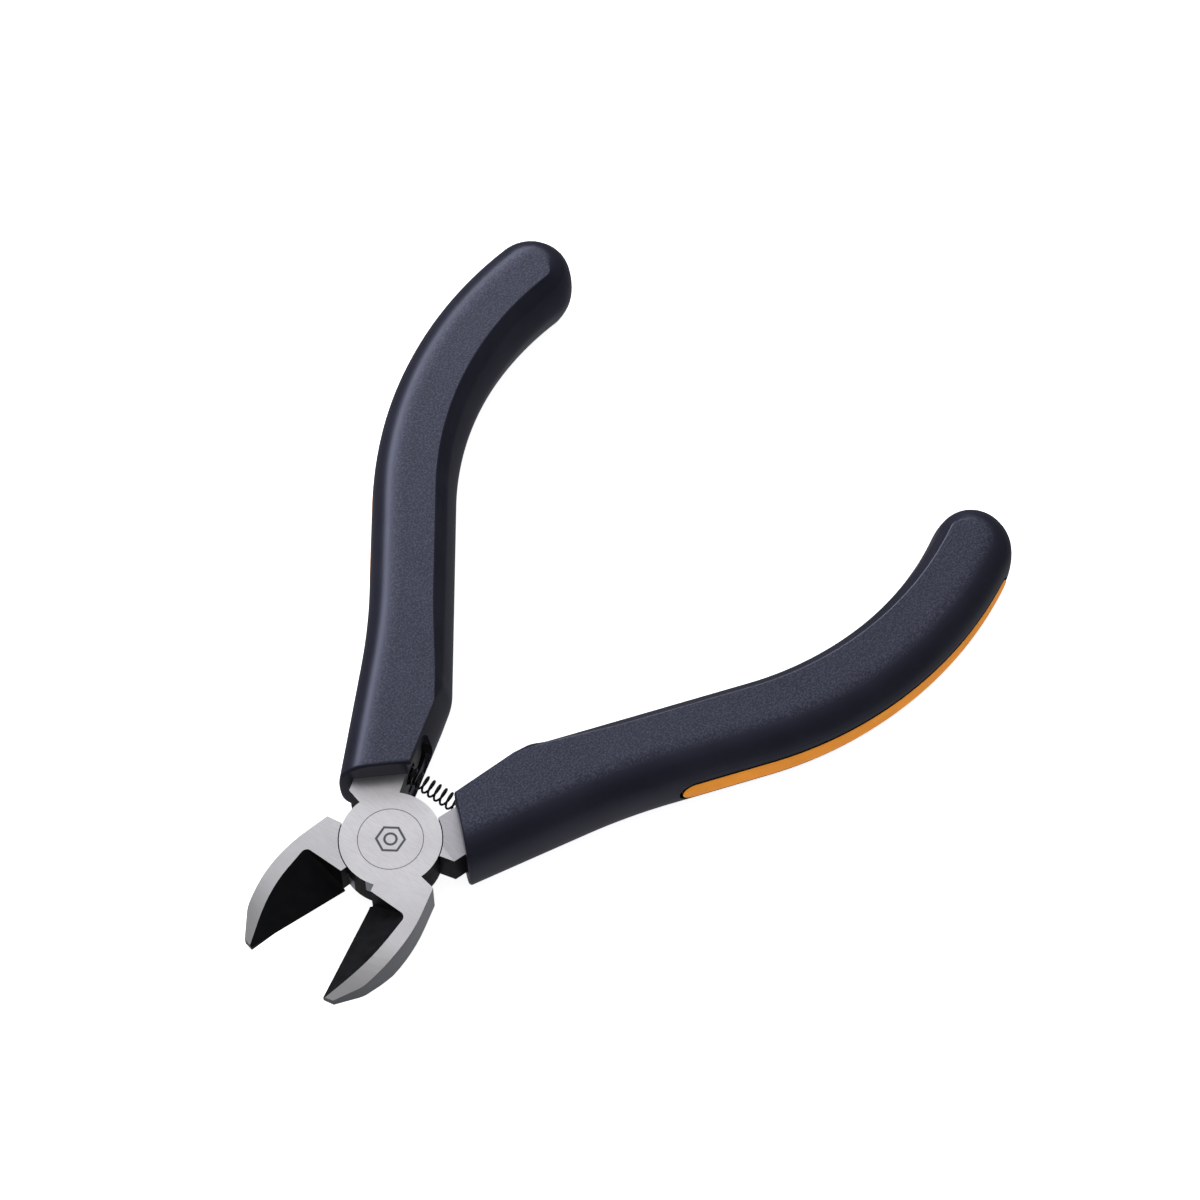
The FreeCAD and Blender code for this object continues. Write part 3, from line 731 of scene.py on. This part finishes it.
def inlay_material():
    nodes = Nodes("inlay_finish")
    cloud = nodes.noise(260, 4.0)
    colour = nodes.blend(nodes.span(cloud, 0.3, 0.7, 0, 1), (0.82, 0.275, 0.008), (0.92, 0.320, 0.011))
    nodes.link(colour, nodes.shader.inputs["Base Color"])
    nodes.link(nodes.span(cloud, 0.3, 0.7, 0.42, 0.52), nodes.shader.inputs["Roughness"])
    nodes.link(nodes.bump(nodes.noise(3000, 3.0), 0.15, 0.00004), nodes.shader.inputs["Normal"])
    nodes.set(Specular_IOR_Level=0.2)
    return nodes.material


def flat_place(nodes):
    """Place in plan, measured from the pivot axis."""
    centred = nodes.add("ShaderNodeVectorMath", operation="SUBTRACT")
    nodes.link(nodes.place, centred.inputs[0])
    centred.inputs[1].default_value = PIVOT
    flat = nodes.add("ShaderNodeVectorMath", operation="MULTIPLY")
    nodes.link(centred.outputs["Vector"], flat.inputs[0])
    flat.inputs[1].default_value = (1, 1, 0)
    return flat.outputs["Vector"]


def distance_from_pivot(nodes):
    length = nodes.add("ShaderNodeVectorMath", operation="LENGTH")
    nodes.link(flat_place(nodes), length.inputs[0])
    return length.outputs["Value"]


def brushed(nodes, turn, tone, rough, painted_shade_tone=PAINTED_SHADE_TONE):
    """Metal with fine scratches along one direction and a faint cloudiness, darkened away from the pivot
    as painted shade.
    """
    fine = nodes.noise(12000, 2.0, (1.0, 0.06, 1.0), turn)
    broad = nodes.noise(4000, 3.0, (1.0, 0.08, 1.0), turn)
    cloud = nodes.noise(180, 2.0)
    lines = nodes.maths("ADD", nodes.maths("MULTIPLY", fine, 0.7), nodes.maths("MULTIPLY", broad, 0.3))
    dark = tuple(channel * 0.86 for channel in tone)
    even = nodes.blend(nodes.span(lines, 0.35, 0.62, 0, 1), dark, tone)
    # Painted shade: the colour darkens from the pivot out to the tips.
    painted_shade = tuple(channel * painted_shade_tone for channel in tone)
    from_pivot = nodes.span(distance_from_pivot(nodes), PAINTED_SHADE_START * MM, PAINTED_SHADE_END * MM, 0.0, 1.0)
    shade = nodes.blend(from_pivot, even, painted_shade)
    nodes.link(shade, nodes.shader.inputs["Base Color"])
    nodes.link(nodes.span(cloud, 0.3, 0.7, rough - 0.03, rough + 0.05), nodes.shader.inputs["Roughness"])
    nodes.link(nodes.bump(lines, 0.18, 0.00002), nodes.shader.inputs["Normal"])
    nodes.set(Metallic=1.0)
    return shade


def ground_material(name, turn, tone):
    nodes = Nodes(name)
    brushed(nodes, turn, tone, 0.34)
    return nodes.material


def satin_material():
    nodes = Nodes("satin_steel_finish")
    brushed(nodes, math.pi / 2, (0.90, 0.91, 0.95), 0.40, SATIN_PAINTED_SHADE_TONE)
    return nodes.material


def black_material():
    nodes = Nodes("black_steel_finish")
    cloud = nodes.noise(700, 3.0)
    colour = nodes.blend(nodes.span(cloud, 0.3, 0.7, 0, 1), (0.003, 0.003, 0.0035), (0.006, 0.006, 0.0065))
    nodes.link(colour, nodes.shader.inputs["Base Color"])
    nodes.link(nodes.span(cloud, 0.3, 0.7, 0.38, 0.5), nodes.shader.inputs["Roughness"])
    nodes.link(nodes.bump(nodes.noise(4000, 3.0), 0.12, 0.00003), nodes.shader.inputs["Normal"])
    nodes.set(Specular_IOR_Level=0.16)
    return nodes.material


def grey_material():
    nodes = Nodes("grey_steel_finish")
    cloud = nodes.noise(500, 4.0)
    colour = nodes.blend(nodes.span(cloud, 0.3, 0.7, 0, 1), (0.10, 0.10, 0.105), (0.15, 0.15, 0.155))
    nodes.link(colour, nodes.shader.inputs["Base Color"])
    nodes.link(nodes.span(cloud, 0.3, 0.7, 0.5, 0.6), nodes.shader.inputs["Roughness"])
    nodes.link(nodes.bump(nodes.noise(3500, 3.0), 0.12, 0.00003), nodes.shader.inputs["Normal"])
    nodes.set(Metallic=0.4)
    return nodes.material


def spring_material():
    nodes = Nodes("spring_finish")
    cloud = nodes.noise(1500, 3.0)
    colour = nodes.blend(nodes.span(cloud, 0.3, 0.7, 0, 1), (0.004, 0.004, 0.004), (0.010, 0.010, 0.011))
    nodes.link(colour, nodes.shader.inputs["Base Color"])
    nodes.link(nodes.span(cloud, 0.3, 0.7, 0.32, 0.45), nodes.shader.inputs["Roughness"])
    nodes.set(Specular_IOR_Level=0.35)
    return nodes.material


# Near black painted shadow, for the shade in the groove, the bore and the window beside the steel.
def recess_material():
    nodes = Nodes("recess_finish")
    cloud = nodes.noise(900, 3.0)
    colour = nodes.blend(nodes.span(cloud, 0.3, 0.7, 0, 1), (0.003, 0.003, 0.003), (0.006, 0.006, 0.007))
    nodes.link(colour, nodes.shader.inputs["Base Color"])
    nodes.link(nodes.span(cloud, 0.3, 0.7, 0.6, 0.75), nodes.shader.inputs["Roughness"])
    nodes.set(Specular_IOR_Level=0.2)
    return nodes.material


def rivet_material():
    nodes = Nodes("rivet_finish")
    shade = brushed(nodes, HALF_OPENING, (0.55, 0.525, 0.518), 0.34)
    radius = distance_from_pivot(nodes)
    # Painted shadow: a thin dark ring round the face's edge, for the shade in the gap round the rivet.
    rim = nodes.span(radius, (RIVET_FACE - 0.14) * MM, (RIVET_FACE - 0.02) * MM, 0.0, 1.0)
    gap_shadowed = nodes.blend(rim, shade, (0.10, 0.09, 0.085))
    etched = nodes.maths("MAXIMUM", hexagon_line(nodes, flat_place(nodes)), ring_line(nodes, radius))
    marked = nodes.blend(etched, gap_shadowed, (0.085, 0.085, 0.09))
    nodes.link(marked, nodes.shader.inputs["Base Color"])
    return nodes.material


def line_at(nodes, distance, middle):
    """One within half a mark's line of a distance, falling to zero beside it."""
    away = nodes.maths("ABSOLUTE", nodes.maths("SUBTRACT", distance, middle * MM))
    return nodes.span(away, (MARK_LINE / 2 - 0.04) * MM, (MARK_LINE / 2 + 0.04) * MM, 1.0, 0.0)


def ring_line(nodes, radius):
    return line_at(nodes, radius, MARK_HOLE)


def hexagon_line(nodes, place):
    """The outline of a hexagon round the middle of the face."""
    across = None
    for side in range(3):
        angle = math.radians(60 * side) + MARK_TURN
        dot = nodes.add("ShaderNodeVectorMath", operation="DOT_PRODUCT")
        nodes.link(place, dot.inputs[0])
        dot.inputs[1].default_value = (math.cos(angle), math.sin(angle), 0)
        reach = nodes.maths("ABSOLUTE", dot.outputs["Value"])
        across = reach if across is None else nodes.maths("MAXIMUM", across, reach)
    return line_at(nodes, across, MARK_FLAT)


# ---- stage, light and camera ---------------------------------------------------------------------

CAMERA_FROM_PIVOT = Vector((157.21, 150.88, 474.57)) * MM
CAMERA_HEADING = math.radians(126.07)
CAMERA_ELEVATION = math.radians(61.85)
CAMERA_LENS = 111.26
FLOOR_GLOW = 0.85

# Brightness of the studio from straight down, past the horizon at a half, to straight up.
SURROUND = ((0.0, 0.24), (0.5, 0.125), (1.0, 0.65))
LAMP_DISTANCE = 0.8
LAMP_COLOUR = (0.90, 0.93, 1.0)


def make_camera():
    data = bpy.data.cameras.new("camera")
    data.lens = CAMERA_LENS
    camera = bpy.data.objects.new("camera", data)
    bpy.context.scene.collection.objects.link(camera)
    place = Vector((PIVOT.x, PIVOT.y, STEEL_TOP)) + CAMERA_FROM_PIVOT
    aim = Matrix.Rotation(CAMERA_HEADING, 4, "Z")
    aim = aim @ Matrix.Rotation(math.pi / 2 - CAMERA_ELEVATION, 4, "X")
    camera.matrix_world = Matrix.Translation(place) @ aim
    bpy.context.scene.camera = camera


def make_floor():
    shape = bmesh.new()
    bmesh.ops.create_grid(shape, x_segments=1, y_segments=1, size=3.0)
    floor = mesh_object("floor", shape)
    nodes = Nodes("floor_finish")
    nodes.set(Base_Color=(0.95, 0.95, 0.95, 1), Roughness=0.9, Specular_IOR_Level=0.1)
    nodes.set(Emission_Color=(1, 1, 1, 1), Emission_Strength=FLOOR_GLOW)
    floor.data.materials.append(nodes.material)
    floor.visible_glossy = False


def soft_box(name, azimuth, elevation, width, height, radiance):
    """A lamp of a given brightness aimed at the tool; azimuth zero is over +X."""
    data = bpy.data.lights.new(name, "AREA")
    data.shape = "RECTANGLE"
    data.size = width
    data.size_y = height
    data.color = LAMP_COLOUR
    data.energy = radiance * math.pi * width * height
    lamp = bpy.data.objects.new(name, data)
    bpy.context.scene.collection.objects.link(lamp)
    turn = math.radians(azimuth)
    rise = math.radians(elevation)
    away = Vector((math.cos(turn) * math.cos(rise), math.sin(turn) * math.cos(rise), math.sin(rise)))
    lamp.location = away * LAMP_DISTANCE
    lamp.rotation_euler = away.to_track_quat("Z", "Y").to_euler()


def make_light():
    """An even studio: dark round the horizon and bright above and below it, with two soft lamps."""
    world = bpy.data.worlds.new("studio")
    bpy.context.scene.world = world
    world.use_nodes = True
    tree = world.node_tree
    place = tree.nodes.new("ShaderNodeTexCoord")
    split = tree.nodes.new("ShaderNodeSeparateXYZ")
    rise = tree.nodes.new("ShaderNodeFloatCurve")
    curve = rise.mapping.curves[0]
    for point, level in zip(curve.points, (SURROUND[0], SURROUND[-1])):
        point.location = level
    for level in SURROUND[1:-1]:
        curve.points.new(*level)
    rise.mapping.update()
    share = tree.nodes.new("ShaderNodeMapRange")
    share.inputs["From Min"].default_value = -1.0
    tree.links.new(place.outputs["Generated"], split.inputs["Vector"])
    tree.links.new(split.outputs["Z"], share.inputs["Value"])
    tree.links.new(share.outputs["Result"], rise.inputs["Value"])
    background = tree.nodes["Background"]
    background.inputs["Color"].default_value = (0.94, 0.96, 1.0, 1)
    tree.links.new(rise.outputs["Value"], background.inputs["Strength"])
    soft_box("side_lamp", 246, 36, 0.9, 0.35, 7.5)
    soft_box("far_lamp", 238, 61.85, 0.7, 0.6, 0.45)
    bpy.context.scene.view_settings.view_transform = "Standard"


MATERIALS = {
    "grip": grip_material(),
    "inlay": inlay_material(),
    "satin_steel": satin_material(),
    "black_steel": black_material(),
    "grey_steel": grey_material(),
    "recess": recess_material(),
    "spring": spring_material(),
    "rivet": rivet_material(),
}
# Ground steel in lit and shaded copies: the lower half's flats and shank top are darker copies, as painted
# shade.
for half_name, half_side in SIDES.items():
    for finish, tones in (("ground", FLAT_TONE_AND_SHADE), ("shank", SHANK_TONE_AND_SHADE)):
        steel_name = f"{half_name}_{finish}"
        tone = tones[half_name]
        MATERIALS[steel_name] = ground_material(f"{steel_name}_steel", half_side * HALF_OPENING, tone)

make_camera()
make_light()
make_floor()
for half_name, half_side in SIDES.items():
    make_grip(half_name, half_side)
    make_inlay(half_name, half_side)
    make_steel_half(half_name, half_side)
make_spring()
make_rivet()
